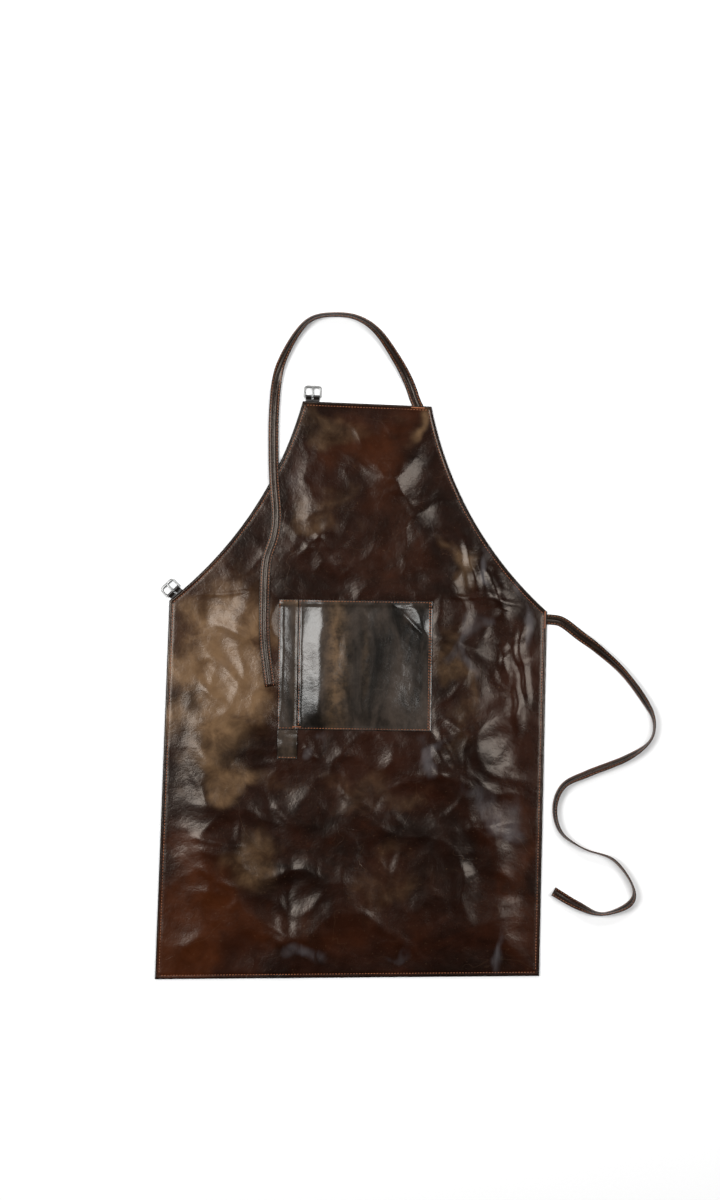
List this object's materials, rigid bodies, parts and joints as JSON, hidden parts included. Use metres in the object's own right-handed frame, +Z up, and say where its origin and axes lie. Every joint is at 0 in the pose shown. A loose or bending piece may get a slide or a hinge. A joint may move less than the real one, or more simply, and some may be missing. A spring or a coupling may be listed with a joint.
{
  "type": "leather apron",
  "caption": "Brown leather bib apron laid flat, with a patch pocket, a pen sleeve, a towel loop, and buckles that hold its neck and waist ties.",
  "frame": {"origin": "on the table under the middle of the apron's body and buckles, ties left out", "axes": "+X to the waist tie's side, +Y from the hem to the bib, +Z up out of the grain side of the leather"},
  "size_m": [0.7815, 1.0419, 0.016],
  "materials": {
    "body_leather": "waxed pull-up grain, semi-gloss, dark edges",
    "pocket_leather": "smooth waxed grain, glossier than the body",
    "tie_leather": "folded strip, semi-gloss",
    "tab_leather": "smooth, gloss",
    "nickel": "polished nickel plate",
    "thread": "waxed twisted thread"
  },
  "bodies": {
    "apron": {"body_panel": "body_leather", "edge_stitching": "thread", "pocket_panel": "pocket_leather", "pen_sleeve": "pocket_leather", "towel_loop": "pocket_leather", "pocket_stitching": "thread", "sleeve_bar_tack": "thread", "loop_stitching": "thread", "neck_tie": "tie_leather", "neck_tie_bar_tack": "thread", "waist_tie": "tie_leather", "waist_tie_bar_tack": "thread", "neck_buckle_tab": "tab_leather", "waist_buckle_tab": "tab_leather"},
    "neck_buckle": {"neck_buckle_frame": "nickel"},
    "neck_tongue": {"neck_buckle_tongue": "nickel"},
    "waist_buckle": {"waist_buckle_frame": "nickel"},
    "waist_tongue": {"waist_buckle_tongue": "nickel"}
  },
  "joints": [
    {"name": "neck_buckle_swing", "type": "hinge", "parent": "apron", "child": "neck_buckle", "pos_m": [-0.05979, 0.44767, 0.00225], "axis": [0.9991, -0.0419, 0], "range_deg": [-60, 60]},
    {"name": "neck_tongue_lift", "type": "hinge", "parent": "neck_buckle", "child": "neck_tongue", "pos_m": [-0.05979, 0.44767, 0.00225], "axis": [0.9991, -0.0419, 0], "range_deg": [0, 85]},
    {"name": "waist_buckle_swing", "type": "hinge", "parent": "apron", "child": "waist_buckle", "pos_m": [-0.27731, 0.14384, 0.00225], "axis": [0.7192, 0.6948, 0], "range_deg": [-60, 60]},
    {"name": "waist_tongue_lift", "type": "hinge", "parent": "waist_buckle", "child": "waist_tongue", "pos_m": [-0.27731, 0.14384, 0.00225], "axis": [0.7192, 0.6948, 0], "range_deg": [0, 85]}
  ]
}
